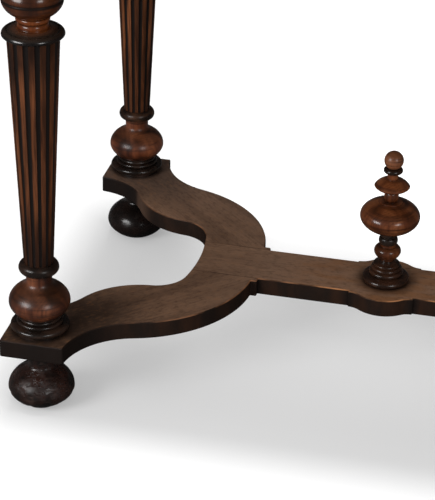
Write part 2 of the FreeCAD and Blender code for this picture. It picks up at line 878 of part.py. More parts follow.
seams = [top_board_depth * (number + 1) - top_depth / 2 for number in range(top_board_count - 1)]
top_cutters = screw_holes + [top_tongue(seam, joint_clearance, end_clearance) for seam in seams]
top = make_top()
for number, board_name in enumerate(("front", "middle", "back")):
    low_y = top_board_depth * number - top_depth / 2
    slice_box = box(
        -top_length / 2, low_y, block_top, top_length, top_board_depth, top_slab_thickness + top_field_rise)
    write(top.common(slice_box).cut(top_cutters), "top_board_" + board_name)
write(Part.makeCompound([top_tongue(seam, 0, 0) for seam in seams]), "top_tongues")
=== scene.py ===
import json
import math
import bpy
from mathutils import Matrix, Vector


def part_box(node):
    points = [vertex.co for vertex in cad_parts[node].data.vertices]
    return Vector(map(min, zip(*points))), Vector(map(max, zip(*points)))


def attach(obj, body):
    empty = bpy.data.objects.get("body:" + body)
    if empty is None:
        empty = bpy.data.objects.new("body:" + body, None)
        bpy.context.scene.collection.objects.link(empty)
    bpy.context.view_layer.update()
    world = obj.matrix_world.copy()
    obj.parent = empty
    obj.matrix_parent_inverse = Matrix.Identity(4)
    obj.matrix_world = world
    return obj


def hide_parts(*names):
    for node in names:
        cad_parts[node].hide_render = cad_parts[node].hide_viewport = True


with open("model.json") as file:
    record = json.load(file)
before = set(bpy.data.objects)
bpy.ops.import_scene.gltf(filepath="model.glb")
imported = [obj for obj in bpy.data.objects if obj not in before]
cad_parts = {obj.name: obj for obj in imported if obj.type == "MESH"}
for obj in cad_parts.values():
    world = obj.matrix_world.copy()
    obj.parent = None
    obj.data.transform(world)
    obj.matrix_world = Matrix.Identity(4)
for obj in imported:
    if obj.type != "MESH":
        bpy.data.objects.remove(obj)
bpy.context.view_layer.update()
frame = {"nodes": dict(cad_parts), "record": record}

from types import SimpleNamespace

import bmesh
import bpy
from mathutils import Quaternion, Vector, noise

# The camera, fitted to the photograph: angles in degrees, lens and sensor in millimetres, the rest in metres
CAMERA_AZIMUTH = 12.02
CAMERA_ELEVATION = 28.579
CAMERA_ROLL = 1.477
CAMERA_DISTANCE = 2.5213
CAMERA_TARGET = (-0.2052, -0.1471, 0.2038)
CAMERA_LENS = 139.31
CAMERA_SENSOR = 36.0

# The lights and the room: places and sizes in metres, power in watts, angles in degrees
LEFT_BOX_PLACE = (-1.45, -1.5, 0.95)
LEFT_BOX_SIZE = (0.90, 0.55)
LEFT_BOX_POWER = 22.0
RIGHT_BOX_PLACE = (2.2, -2.7, 1.6)
RIGHT_BOX_SIZE = (1.10, 0.80)
RIGHT_BOX_POWER = 28.0
BOX_AIM = (-0.25, -0.1, 0.25)
OVERHEAD_STRENGTH = 2.9
OVERHEAD_ANGLE = 8.4
ROOM_LOW = 0.20
ROOM_HIGH = 1.00
ROOM_BRIGHT_SIDE = (0.0, -0.6, 0.8)
ROOM_LOW_UP_TO = -0.2
ROOM_IN_GLOSS = 0.03
ROOM_IN_VIEW = 1.0

# The floor, with paler stretches of painted light: y from and to, x from and to, amount
FLOOR_HALF_WIDTH = 9.0
FLOOR_STEPS = 8
FLOOR_COLOUR = 0.45
FLOOR_IN_BOUNCE = 0.30
FLOOR_IN_GLOSS = 0.06
FLOOR_LIFT = 0.32
FLOOR_PAINTED_LIGHT = (((-0.24, -0.02), (-0.40, -0.24), 0.11), ((0.10, 0.28), (-0.36, -0.18), 0.36))

# The places of the legs and of the turned and shaped parts, in metres, read from the frame where it has them
SHAFT_LOW, SHAFT_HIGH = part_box("shaft_front_right")
LEG_X = (SHAFT_LOW.x + SHAFT_HIGH.x) / 2
LEG_Y = -(SHAFT_LOW.y + SHAFT_HIGH.y) / 2
SHAFT_FOOT_RADIUS = 0.0192
SHAFT_HEAD_RADIUS = (SHAFT_HIGH.x - SHAFT_LOW.x) / 2
SHAFT_FOOT_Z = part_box("lower_collar_front_right")[1].z
SHAFT_HEAD_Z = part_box("upper_collar_front_right")[0].z
SEAM_START, SEAM_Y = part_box("stretcher_arm_back_right")[0].xy
SWELLING_STEP = 0.044
HEAD_FOOT_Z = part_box("upper_collar_front_right")[1].z
HEAD_CUP_Z = HEAD_FOOT_Z + 0.016
HEAD_CUP_SHADE_Z = HEAD_CUP_Z + 0.007
HEAD_LINE_Z = HEAD_FOOT_Z + 0.0374
FOOT_TOP_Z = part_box("foot_front_right")[1].z
FOOT_EQUATOR_Z = 0.0235
FINIAL_SHADE_Z = (0.17, 0.27)

# The finial's base; a bead is inner radius, outer radius, foot above the stretcher and height
FINIAL_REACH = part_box("finial_base")[1].x
FINIAL_HOLE = 0.006
FINIAL_BEADS = ((0.027, FINIAL_REACH, 0.0, 0.010), (0.0205, 0.0235, 0.0112, 0.0065),
                (0.0185, 0.0208, 0.0182, 0.0050), (0.0160, 0.0182, 0.0237, 0.0045))
FINIAL_CONE_FOOT = (0.0135, 0.0287)
FINIAL_CONE_TOP = 0.010
BEAD_STEPS = 8
TURN_STEPS = 64

# Softened edges, in metres
ARRIS = 0.0020
SEAM_ARRIS = 0.0003
ARRIS_STEPS = 3
HOLE_REACH = 0.030
WELD_NEAR = 0.000001
CLEAN_NEAR = 0.00002
FLAT_ANGLE = math.radians(0.5)
SHARP_ANGLE = math.radians(35)
RIM_ROUND = 0.0062
RIM_NEAR = 0.0001
NECK_LEAST = 0.0145
NECK_SETTLE = 1.35
FLARE_RADIUS = 0.0210
FLARE_RISE = 0.0042

# The wear of the feet: 0 is new and 1 is most worn, lengths in metres
FOOT_WEAR = {"front_left": 1.0, "front_right": 0.6, "back_left": 0.25, "back_right": 0.5}
FOOT_DROP = 0.0035
FOOT_DENT = 0.0016
DENT_SCALE = 55.0
DENT_FIRST_SEED = 1.0
DENT_SEED_STEP = 7.0
DENT_FADE = 1.0
DENT_FINER = 2.0
DENT_OCTAVES = 4

# Grain: piths and ring widths in metres, scales in waves per metre along three directions
RING_DRIFT = (3, 14, 14)
TURNED_PITH = (0.70, -1.10)
TURNED_RING = 0.0032
TURNED_WANDER = 0.03
TURNED_FIGURE = (34, 34, 6)
TURNED_FIBRE = (420, 420, 22)
TURNED_STOPS = (0.34, 0.46, 0.66)
BOARD_RING = 0.0045
BOARD_WANDER = 0.03
BOARD_FIGURE = (2.4, 30, 30)
BOARD_FIBRE = (26, 480, 480)
BOARD_STOPS = (0.30, 0.50, 0.70)
STRETCHER_PITH = (0.012, 0.04)
TOP_PITHS = {"front": (-0.26, 0.62), "middle": (0.03, 0.66), "back": (0.18, 0.60)}
TOP_GRAIN_STEP = 3.7
RAIL_PITH = (0.10, 0.70)
SIDE_GRAIN_SHIFT = 5.0
PLAIN_FIBRE = (60, 400, 400)
STEEL_GRAIN = (500, 500, 2000)
TWO_STOPS = (0.35, 0.65)
FIBRE_RELIEF = 0.0003

# The numbers of the materials. A band is what Nodes.span takes: from, to and, where given, the amounts there.
# It follows a place in metres, a noise from 0 to 1, or how far a face looks up.
ROUGH_SPAN = (0.3, 0.7)

# Turned and polished wood
TURNED_RING_DARK = (0.35, 1.0, 0.0, 0.30)
TURNED_FIBRE_DARK = (0.48, 0.74, 0.0)
POLISHED_FIBRE_MOST = 0.5
# Upward faces painted darker, as shade from the table top above
POLISHED_TOP_SHADE = (0.15, 0.85, 0.0)
POLISHED_STREAK = (14, 14, 260)
POLISHED_STREAK_DARK = (0.48, 0.70, 0.0, 0.70)
POLISHED_COAT = 0.7
TURNING_MARKS = (4, 4, 700)
TURNING_DEPTH = 0.5
# Crevices of turned wood darkened with dirt and painted shade
TURNED_CREVICE_REACH = 0.007
TURNED_DIRT_AND_SHADE = (0.30, 0.75, 0.6, 0.0)
SCORED_RING = (0.0010, 0.0030)
SCORED_DARK = 0.92

# Fluted shafts; pairs are for the front and the back legs
FLUTED_FIBRE_MOST = 0.7
FILLET_STRIP = (130, 130, 5)
FILLET_STRIP_DARK = (0.46, 0.70, 0.0, 0.75)
SHAFT_HEAD_SHADE = (SHAFT_HEAD_Z - 0.07, SHAFT_HEAD_Z, 0.0, 0.7)
SHAFT_FOOT_SHADE = (SHAFT_FOOT_Z, SHAFT_FOOT_Z + 0.13, 1.0, 0.0)
SHAFT_FOOT_DARK = (0.9, 0.5)
FLUTE_DEPTH = (0.0001, 0.0016)

# Boards
BOARD_RING_DARK = (0.4, 1.0, 0.0, 0.25)
BOARD_FIBRE_DARK = (0.48, 0.72, 0.0, 0.6)
# Crevices of boards darkened with dirt and painted shade
BOARD_CREVICE_REACH = 0.010
STRETCHER_DIRT_AND_SHADE = (0.35, 0.80, 0.8, 0.0)
TOP_DIRT_AND_SHADE = (0.35, 0.80, 0.85, 0.0)

# The stretcher's upper side; pairs are for the front and the back legs
BAR_PALE = (0.10, 0.27, 0.6, 0.0)
# A painted glow of light on the bar near the finial
GLOW_SCALE = (18, 60, 60)
GLOW_SHIFT = (5, 0, 0)
GLOW_REACH = (0.06, 0.16, 0.75, 0.0)
GLOW_CLOUD = (0.35, 0.65, 0.15, 1.0)
PLINTH_REACH = 0.060
PLINTH_DARK_TO = (0.190, 0.150)
PLINTH_DARK = (0.88, 0.63)
PLINTH_PATCHES = (0.25, 0.6, 0.75, 1.0)
FINIAL_SHADOW = (FINIAL_REACH, FINIAL_REACH + 0.018, 0.6, 0.0)
FRONT_DARK = (-0.10, -0.02, 0.14, 0.0)
BACK_PALE = (0.06, LEG_Y, 0.0, 0.30)
BLOTCH_SHIFT = (3, 1, 0)
BLOTCH_DARK = (0.50, 0.75, 0.0, 0.28)
MOTTLE_SCALE = (110, 260, 260)
MOTTLE_DARK = (0.46, 0.70, 0.0, 0.42)
MOTTLE_ORANGE = (0.30, 0.48, 0.30, 0.0)
SEAM_LINE = (0.0003, 0.0012, 0.6, 0.0)

# The stretcher's edges, and rubbed arrises lightened by wear and by a painted highlight
EDGE_STREAK = (26, 26, 9)
EDGE_STREAK_BROWN = (0.35, 0.75)
JOINT_DIRT = (0.002, 0.016, 0.85, 0.0)
JOINT_RUN = (SEAM_START - 0.012, SEAM_START)
# Painted shade in the notches at the swelling's steps
STEP_SHADE = (0.002, 0.012, 0.8, 0.0)
EDGE_DARK_TO = (0.130, 0.095)
EDGE_DARK = 0.85
SCRAPE_START = (0.074, 0.088, 0.0, 0.6)
SCRAPE_END = (0.105, 0.145, 1.0, 0.0)
SCRAPE_AT_BACK = (0.05, 0.15)
RUB_CLOUD = (0.32, 0.62)
RUB_REACH = (0.07, 0.24, 0.05, 1.0)
ORANGE_HIGHLIGHT_REACH = (0.05, 0.15)
EDGE_TO_ARRIS = (0.15, 0.45)
EDGE_ROUGHER = 0.15
ARRIS_TO_UPPER = (0.80, 0.97)

# Ebonised wood
EBONY_RUB = (45, 45, 120)
EBONY_WEAR = (0.38, 0.68, 0.05)
EBONY_ROUGHER = 0.08
EBONY_RELIEF = 0.0004
# A painted brown reflection on the collar's upward faces
COLLAR_UPWARD_REFLECTION = (0.3, 0.8, 0.0, 0.42)
COLLAR_CONE_REACH = (0.0235, 0.0330, 0.90, 0.0)
COLLAR_CONE_WANDER = 0.004

# Feet
SCUFF_SCALE = (70, 70, 130)
SCUFF_SPAN = (0.56, 0.70, 0.0)
SCUFF_MOST = 0.6
SCUFF_HEIGHT = 0.3
SCUFF_ROUGH = (0.35, 0.7, 0.22)
FOOT_ROUGH = 0.26
FOOT_ROUGHER = 0.22
FOOT_CLOUD = (0.32, 0.68, 0.0)
CRACK_SCALE = (95, 95, 150)
CRACK_LEVEL = 0.5
CRACK_WIDTH = (0.008, 0.034, 1.0, 0.0)
CRACK_CLOUD = (0.46, 0.56, 0.0)
FOOT_BUMP = 0.35
FOOT_RELIEF = 0.0008

# Colours; tones run from dark to light
WALNUT_DARK = (0.012, 0.004, 0.002, 1)
# Olive dark of the painted shade on upward faces
WALNUT_TOP_SHADE = (0.020, 0.010, 0.004, 1)
WALNUT_TONES = ((0.032, 0.008, 0.003, 1), (0.114, 0.030, 0.011, 1), (0.270, 0.084, 0.033, 1))
HEAD_TONES = ((0.044, 0.010, 0.002, 1), (0.096, 0.021, 0.004, 1), (0.185, 0.050, 0.011, 1))
FINIAL_TONES = ((0.050, 0.013, 0.004, 1), (0.145, 0.038, 0.011, 1), (0.310, 0.099, 0.033, 1))
BALL_TONES = ((0.105, 0.033, 0.012, 1), (0.170, 0.057, 0.024, 1), (0.265, 0.098, 0.042, 1))
FILLET_DARK = (0.016, 0.006, 0.003, 1)
FILLET_TONES = (FILLET_DARK, (0.100, 0.032, 0.012, 1), (0.190, 0.062, 0.021, 1))
# Near black of the painted shade in the flutes
FLUTE_SHADE = (0.011, 0.008, 0.007, 1)
TOP_TONES = ((0.022, 0.009, 0.004, 1), (0.085, 0.026, 0.009, 1), (0.130, 0.045, 0.016, 1))
BOARD_DARK = (0.096, 0.053, 0.033, 1)
BOARD_TONES = (BOARD_DARK, (0.184, 0.103, 0.063, 1), (0.243, 0.136, 0.081, 1))
BACK_GREY = (0.130, 0.092, 0.076, 1)
BAR_LIGHT = (0.250, 0.149, 0.097, 1)
BAR_ORANGE = (0.215, 0.092, 0.036, 1)
EDGE_BLACK = (0.012, 0.007, 0.005, 1)
EDGE_BROWN = (0.030, 0.0122, 0.0060, 1)
PLINTH_BROWN = (0.017, 0.0112, 0.0088, 1)
# Rubbed arrises: brown for wear and a painted highlight, orange for a painted highlight near the swelling
ARRIS_WEAR_AND_HIGHLIGHT = (0.215, 0.094, 0.044, 1)
ARRIS_ORANGE_HIGHLIGHT = (0.400, 0.170, 0.066, 1)
EBONY = (0.0070, 0.0046, 0.0036, 1)
EBONY_RUBBED = (0.027, 0.0135, 0.0085, 1)
EBONY_WORN = (0.062, 0.026, 0.0125, 1)
COLLAR_BLACK = (0.0050, 0.0044, 0.0043, 1)
COLLAR_CONE = (0.080, 0.030, 0.015, 1)
COLLAR_REFLECTION_BROWN = (0.034, 0.021, 0.014, 1)
FOOT_BLACK = (0.0055, 0.0040, 0.0034, 1)
FOOT_BROWN = (0.027, 0.0108, 0.0078, 1)
FOOT_SCUFF = (0.042, 0.022, 0.016, 1)
FINIAL_BLACK = (0.012, 0.0060, 0.0040, 1)
FINIAL_RUBBED = (0.036, 0.014, 0.007, 1)
# Dark colour of dirt, cracks, seams and scored rings, also used for painted shade in crevices and notches
DIRT_AND_SHADE = (0.008, 0.005, 0.004, 1)
PLAIN_TONES = ((0.22, 0.13, 0.065, 1), (0.36, 0.23, 0.12, 1))
STEEL_TONES = ((0.30, 0.29, 0.28, 1), (0.48, 0.47, 0.45, 1))


class Nodes:
    """A short way to write the nodes of one material."""

    def __init__(self, name):
        self.material = bpy.data.materials.new(name)
        self.material.use_nodes = True
        self.tree = self.material.node_tree
        self.tree.nodes.clear()

    def add(self, kind, **settings):
        node = self.tree.nodes.new(kind)
        for setting, value in settings.items():
            setattr(node, setting, value)
        return node

    def put(self, socket, value):
        """Links a socket to another one, or sets it to a constant."""
        if isinstance(value, bpy.types.NodeSocket):
            self.tree.links.new(value, socket)
        else:
            socket.default_value = value

    def place(self):
        """Where a point of the surface is, in metres."""
        return self.add("ShaderNodeTexCoord").outputs["Object"]

    def parts(self, vector):
        node = self.add("ShaderNodeSeparateXYZ")
        self.put(node.inputs[0], vector)
        return node.outputs

    def vector(self, x, y, z):
        node = self.add("ShaderNodeCombineXYZ")
        for socket, value in zip(node.inputs, (x, y, z)):
            self.put(socket, value)
        return node.outputs[0]

    def scaled(self, vector, factors, offset=(0, 0, 0)):
        node = self.add("ShaderNodeVectorMath", operation="MULTIPLY_ADD")
        self.put(node.inputs[0], vector)
        self.put(node.inputs[1], factors)
        self.put(node.inputs[2], offset)
        return node.outputs[0]

    def math(self, operation, a, b=0.0):
        node = self.add("ShaderNodeMath", operation=operation)
        self.put(node.inputs[0], a)
        self.put(node.inputs[1], b)
        return node.outputs[0]

    def times(self, product, *factors):
        """The product of two or more values."""
        for factor in factors:
            product = self.math("MULTIPLY", product, factor)
        return product

    def off(self, value, centre):
        """How far a value is from a centre."""
        return self.math("ABSOLUTE", self.math("SUBTRACT", value, centre))

    def length(self, x, y):
        node = self.add("ShaderNodeVectorMath", operation="LENGTH")
        self.put(node.inputs[0], self.vector(x, y, 0.0))
        return node.outputs["Value"]

    def span(self, value, low, high, to_low=0.0, to_high=1.0, shape="SMOOTHSTEP"):
        """Goes from to_low to to_high while a value goes from low to high."""
        node = self.add("ShaderNodeMapRange", interpolation_type=shape)
        for socket, number in zip(node.inputs[:5], (value, low, high, to_low, to_high)):
            self.put(socket, number)
        return node.outputs[0]

    def rough(self, value, least, most):
        """A roughness that varies with a noise."""
        return self.span(value, *ROUGH_SPAN, least, most)

    def noise(self, vector, scale=1.0, detail=3.0, roughness=0.5, distortion=0.0):
        node = self.add("ShaderNodeTexNoise")
        self.put(node.inputs["Vector"], vector)
        self.put(node.inputs["Scale"], scale)
        self.put(node.inputs["Detail"], detail)
        self.put(node.inputs["Roughness"], roughness)
        self.put(node.inputs["Distortion"], distortion)
        return node.outputs[0]

    def mix(self, amount, a, b):
        node = self.add("ShaderNodeMix", data_type="RGBA")
        self.put(node.inputs[0], amount)
        self.put(node.inputs[6], a)
        self.put(node.inputs[7], b)
        return node.outputs[2]

    def ramp(self, value, stops, colours):
        node = self.add("ShaderNodeValToRGB")
        elements = node.color_ramp.elements
        while len(elements) < len(stops):
            elements.new(1.0)
        for element, stop, colour in zip(elements, stops, colours):
            element.position = stop
            element.color = colour
        self.put(node.inputs[0], value)
        return node.outputs[0]

    def crevice(self, reach):
        """1 in the open, and less where another surface is within reach."""
        node = self.add("ShaderNodeAmbientOcclusion", samples=6)
        self.put(node.inputs["Distance"], reach)
        return node.outputs["AO"]

    def upward(self):
        """How far a face looks up, from -1 to 1."""
        return self.parts(self.add("ShaderNodeNewGeometry").outputs["Normal"])[2]

    def bump(self, height, strength, relief):
        node = self.add("ShaderNodeBump")
        self.put(node.inputs["Strength"], strength)
        self.put(node.inputs["Distance"], relief)
        self.put(node.inputs["Height"], height)
        return node.outputs[0]

    def surface(self, **inputs):
        shader = self.add("ShaderNodeBsdfPrincipled")
        for name, value in inputs.items():
            self.put(shader.inputs[name.replace("_", " ")], value)
        output = self.add("ShaderNodeOutputMaterial")
        self.put(output.inputs["Surface"], shader.outputs[0])
        return self.material


# Materials


def leg_distance(n, x, y):
    """Distance from the axis of the nearest leg."""
    return n.length(n.math("SUBTRACT", n.math("ABSOLUTE", x), LEG_X),
                    n.math("SUBTRACT", n.math("ABSOLUTE", y), LEG_Y))


def front_to_back(n, y, front=0.0, back=1.0):
    """A number that goes from one value at the front legs to another at the back legs."""
    return n.span(y, -LEG_Y, LEG_Y, front, back)


def with_dirt_and_shade(n, colour, reach, band, dirt):
    """A colour darkened with dirt and painted shade where another surface is within reach."""
    return n.mix(n.span(n.crevice(reach), *band), colour, dirt)


def growth_rings(n, along, across, depth, pith, spacing, wander):
    """Growth rings round a pith that lies beside the piece, from 0 to 1 across each ring."""
    drift = n.noise(n.scaled(n.vector(along, across, depth), RING_DRIFT))
    away = n.length(n.math("SUBTRACT", across, pith[0]), n.math("SUBTRACT", depth, pith[1]))
    away = n.math("ADD", away, n.times(drift, wander))
    return n.math("FRACT", n.math("DIVIDE", away, spacing))


def turned_wood(n, tones, fibre_most):
    """Colour and fine fibre of wood turned with its grain upright."""
    place = n.place()
    x, y, z = n.parts(place)
    dark = tones[0]
    figure = n.noise(n.scaled(place, TURNED_FIGURE), detail=4, roughness=0.55, distortion=0.6)
    fibre = n.noise(n.scaled(place, TURNED_FIBRE), detail=5, roughness=0.7)
    ring = growth_rings(n, z, x, y, TURNED_PITH, TURNED_RING, TURNED_WANDER)
    colour = n.ramp(figure, TURNED_STOPS, tones)
    colour = n.mix(n.span(ring, *TURNED_RING_DARK), colour, dark)
    colour = n.mix(n.span(fibre, *TURNED_FIBRE_DARK, fibre_most), colour, dark)
    return colour, fibre


def polished_walnut(name, tones, gloss, top_shade, shade=None, ring_z=None):
    """Polished turned wood with painted shade on its upward faces, a shade (axis, from, to, amount) and a
    dark scored ring.
    """
    n = Nodes(name)
    place = n.place()
    axes = dict(zip("xyz", n.parts(place)))
    colour, fibre = turned_wood(n, tones, POLISHED_FIBRE_MOST)
    if shade:
        axis, start, end, amount = shade
        colour = n.mix(n.span(axes[axis], start, end, amount, 0.0), colour, WALNUT_DARK)
    coat = POLISHED_COAT
    if ring_z:
        off_ring = n.off(axes["z"], ring_z)
        colour = n.mix(n.span(off_ring, *SCORED_RING, SCORED_DARK, 0.0), colour, DIRT_AND_SHADE)
        coat = n.span(off_ring, *SCORED_RING, 0.0, POLISHED_COAT)
    # Upward faces are painted darker and more olive, as shade from the table top above.
    colour = n.mix(n.span(n.upward(), *POLISHED_TOP_SHADE, top_shade), colour, WALNUT_TOP_SHADE)
    # Dirt and painted shade where surfaces meet
    colour = with_dirt_and_shade(n, colour, TURNED_CREVICE_REACH, TURNED_DIRT_AND_SHADE, WALNUT_DARK)
    streak = n.noise(n.scaled(place, POLISHED_STREAK), detail=4, roughness=0.6)
    colour = n.mix(n.span(streak, *POLISHED_STREAK_DARK), colour, WALNUT_DARK)
    turning = n.noise(n.scaled(place, TURNING_MARKS), detail=2)
    rough = n.rough(n.noise(place, scale=60, detail=4), least=0.38, most=0.50)
    height = n.math("ADD", n.times(turning, TURNING_DEPTH), fibre)
    return n.surface(Base_Color=colour, Roughness=rough, Specular_IOR_Level=0.08, Coat_Weight=coat,
                     Coat_Roughness=gloss, Normal=n.bump(height, strength=0.04, relief=FIBRE_RELIEF))


def fluted_walnut(name):
    """Tapered shafts: brown fillets, shaded at both ends, and flutes painted dark as shade in the grooves."""
    n = Nodes(name)
    place = n.place()
    x, y, z = n.parts(place)
    colour, fibre = turned_wood(n, FILLET_TONES, FLUTED_FIBRE_MOST)
    strip = n.noise(n.scaled(place, FILLET_STRIP), detail=2)
    colour = n.mix(n.span(strip, *FILLET_STRIP_DARK), colour, FILLET_DARK)
    colour = n.mix(n.span(z, *SHAFT_HEAD_SHADE), colour, FILLET_DARK)
    foot_shade = n.times(n.span(z, *SHAFT_FOOT_SHADE), front_to_back(n, y, *SHAFT_FOOT_DARK))
    colour = n.mix(foot_shade, colour, FILLET_DARK)
    # The flutes are painted dark by their depth, as shade in the grooves.
    outer = n.span(z, SHAFT_FOOT_Z, SHAFT_HEAD_Z, SHAFT_FOOT_RADIUS, SHAFT_HEAD_RADIUS, shape="LINEAR")
    depth = n.math("SUBTRACT", outer, leg_distance(n, x, y))
    colour = n.mix(n.span(depth, *FLUTE_DEPTH), colour, FLUTE_SHADE)
    rough = n.rough(n.noise(place, scale=80, detail=4), least=0.34, most=0.46)
    return n.surface(Base_Color=colour, Roughness=rough, Specular_IOR_Level=0.14,
                     Normal=n.bump(fibre, strength=0.12, relief=FIBRE_RELIEF))


def board_wood(n, along, across, depth, pith, tones, shift=0.0):
    """Colour and fine fibre of a board sawn with its grain along the first direction."""
    grain = n.vector(along, across, depth)
    dark = tones[0]
    figure = n.noise(n.scaled(grain, BOARD_FIGURE, (shift, shift, 0)), detail=5, roughness=0.55,
                     distortion=0.4)
    fibre = n.noise(n.scaled(grain, BOARD_FIBRE, (shift, 0, 0)), detail=5, roughness=0.7)
    ring = growth_rings(n, along, across, depth, pith, BOARD_RING, BOARD_WANDER)
    colour = n.ramp(figure, BOARD_STOPS, tones)
    colour = n.mix(n.span(ring, *BOARD_RING_DARK), colour, dark)
    colour = n.mix(n.span(fibre, *BOARD_FIBRE_DARK), colour, dark)
    return colour, fibre


def stretcher_walnut(name, diagonal):
    """The stretcher: a worn upper side, dark edges and, between them, rubbed arrises lightened by wear and by
    a painted highlight.
    """
    n = Nodes(name)
    at = stretcher_places(n, diagonal)
    upper, fibre = stretcher_upper_side(n, at)
    edge = stretcher_edge(n, at)
    # Rubbed arrises are painted lighter: brown for wear and a painted highlight, orange near the swelling for
    # a painted highlight.
    cloud = n.noise(at.place, scale=26)
    rub = n.times(n.span(cloud, *RUB_CLOUD), n.span(at.from_leg, *RUB_REACH))
    rubbed = n.mix(n.span(at.wide, *ORANGE_HIGHLIGHT_REACH), ARRIS_ORANGE_HIGHLIGHT, ARRIS_WEAR_AND_HIGHLIGHT)
    arris = n.mix(rub, edge, rubbed)
    upward = n.upward()
    colour = n.mix(n.span(upward, *ARRIS_TO_UPPER), arris, upper)
    colour = n.mix(n.span(upward, *EDGE_TO_ARRIS), edge, colour)
    # Dirt and painted shade where surfaces meet
    colour = with_dirt_and_shade(n, colour, BOARD_CREVICE_REACH, STRETCHER_DIRT_AND_SHADE, DIRT_AND_SHADE)
    rough = n.rough(n.noise(at.place, scale=50, detail=5), least=0.36, most=0.50)
    rough = n.math("ADD", rough, n.span(upward, *EDGE_TO_ARRIS, EDGE_ROUGHER, 0.0))
    return n.surface(Base_Color=colour, Roughness=rough, Specular_IOR_Level=0.14,
                     Normal=n.bump(fibre, strength=0.2, relief=FIBRE_RELIEF))


def stretcher_places(n, diagonal):
    """What the stretcher's tones follow. The grain runs along the bar or, where diagonal, along the arms."""
    place = n.place()
    x, y, z = n.parts(place)
    wide = n.math("ABSOLUTE", x)
    deep = n.math("ABSOLUTE", y)
    along, across = x, y
    if diagonal:
        along = n.times(n.math("ADD", wide, deep), math.sqrt(0.5))
        across = n.times(n.math("SUBTRACT", wide, deep), math.sqrt(0.5))
    return SimpleNamespace(place=place, x=x, y=y, wide=wide, along=along, across=across, depth=z,
                           from_leg=leg_distance(n, x, y), off_seam=n.off(deep, SEAM_Y))


def stretcher_upper_side(n, at):
    """Colour and fibre of the upper side: pale on the bar with a painted glow of light near the finial, dark
    at the legs, the finial and the seams.
    """
    colour, fibre = board_wood(n, at.along, at.across, at.depth, STRETCHER_PITH, BOARD_TONES)
    colour = n.mix(n.span(at.wide, *BAR_PALE), colour, BAR_LIGHT)
    # A painted glow of light: orange clouds on the bar near the finial.
    cloud = n.noise(n.scaled(at.place, GLOW_SCALE, GLOW_SHIFT), detail=4, roughness=0.6)
    painted_glow = n.times(n.span(at.wide, *GLOW_REACH), n.span(cloud, *GLOW_CLOUD))
    colour = n.mix(painted_glow, colour, BAR_ORANGE)
    # Darker near the legs, in patches
    patches = n.noise(at.place, scale=22, detail=5, roughness=0.6)
    dark_to = front_to_back(n, at.y, *PLINTH_DARK_TO)
    near_leg = n.times(n.span(at.from_leg, PLINTH_REACH, dark_to, 1.0, 0.0),
                       front_to_back(n, at.y, *PLINTH_DARK), n.span(patches, *PLINTH_PATCHES))
    colour = n.mix(near_leg, colour, PLINTH_BROWN)
    colour = n.mix(n.span(n.length(at.x, at.y), *FINIAL_SHADOW), colour, EDGE_BROWN)
    colour = n.mix(n.span(at.y, *FRONT_DARK), colour, EDGE_BROWN)
    colour = n.mix(n.span(at.y, *BACK_PALE), colour, BACK_GREY)
    blotch = n.noise(n.scaled(at.place, (1, 1, 1), BLOTCH_SHIFT), scale=48, detail=6, roughness=0.65)
    colour = n.mix(n.span(blotch, *BLOTCH_DARK), colour, EDGE_BROWN)
    grain = n.vector(at.along, at.across, at.depth)
    mottle = n.noise(n.scaled(grain, MOTTLE_SCALE), detail=4, roughness=0.65)
    colour = n.mix(n.span(mottle, *MOTTLE_DARK), colour, EDGE_BROWN)
    colour = n.mix(n.span(mottle, *MOTTLE_ORANGE), colour, BAR_ORANGE)
    seam = n.times(n.span(at.off_seam, *SEAM_LINE), n.math("GREATER_THAN", at.wide, SEAM_START))
    return n.mix(seam, colour, DIRT_AND_SHADE), fibre


def stretcher_edge(n, at):
    """Colour of the edges: black and brown, dirty at the joints, with painted shade at the swelling's steps,
    darker near the legs, scraped on the back arms.
    """
    streak = n.noise(n.scaled(at.place, EDGE_STREAK), detail=6, roughness=0.6)
    edge = n.mix(n.span(streak, *EDGE_STREAK_BROWN), EDGE_BLACK, EDGE_BROWN)
    joint = n.times(n.span(at.off_seam, *JOINT_DIRT), n.span(at.wide, *JOINT_RUN))
    edge = n.mix(joint, edge, DIRT_AND_SHADE)
    # Painted shade in the notches at the swelling's steps.
    edge = n.mix(n.span(n.off(at.wide, SWELLING_STEP), *STEP_SHADE), edge, DIRT_AND_SHADE)
    dark_to = front_to_back(n, at.y, *EDGE_DARK_TO)
    edge = n.mix(n.span(at.from_leg, PLINTH_REACH, dark_to, EDGE_DARK, 0.0), edge, DIRT_AND_SHADE)
    scrape = n.times(n.span(at.from_leg, *SCRAPE_START), n.span(at.from_leg, *SCRAPE_END),
                     n.span(at.y, *SCRAPE_AT_BACK))
    return n.mix(scrape, edge, BOARD_DARK)


def top_walnut(name, pith, shift=0.0, crosswise=False):
    """Boards of the top and the frieze, with the grain along x or, where crosswise, along y."""
    n = Nodes(name)
    place = n.place()
    x, y, z = n.parts(place)
    along, across = (y, x) if crosswise else (x, y)
    colour, fibre = board_wood(n, along, across, z, pith, TOP_TONES, shift)
    # Dirt and painted shade where surfaces meet
    colour = with_dirt_and_shade(n, colour, BOARD_CREVICE_REACH, TOP_DIRT_AND_SHADE, DIRT_AND_SHADE)
    rough = n.rough(n.noise(place, scale=40, detail=5), least=0.50, most=0.62)
    return n.surface(Base_Color=colour, Roughness=rough, Specular_IOR_Level=0.2,
                     Normal=n.bump(fibre, strength=0.15, relief=FIBRE_RELIEF))


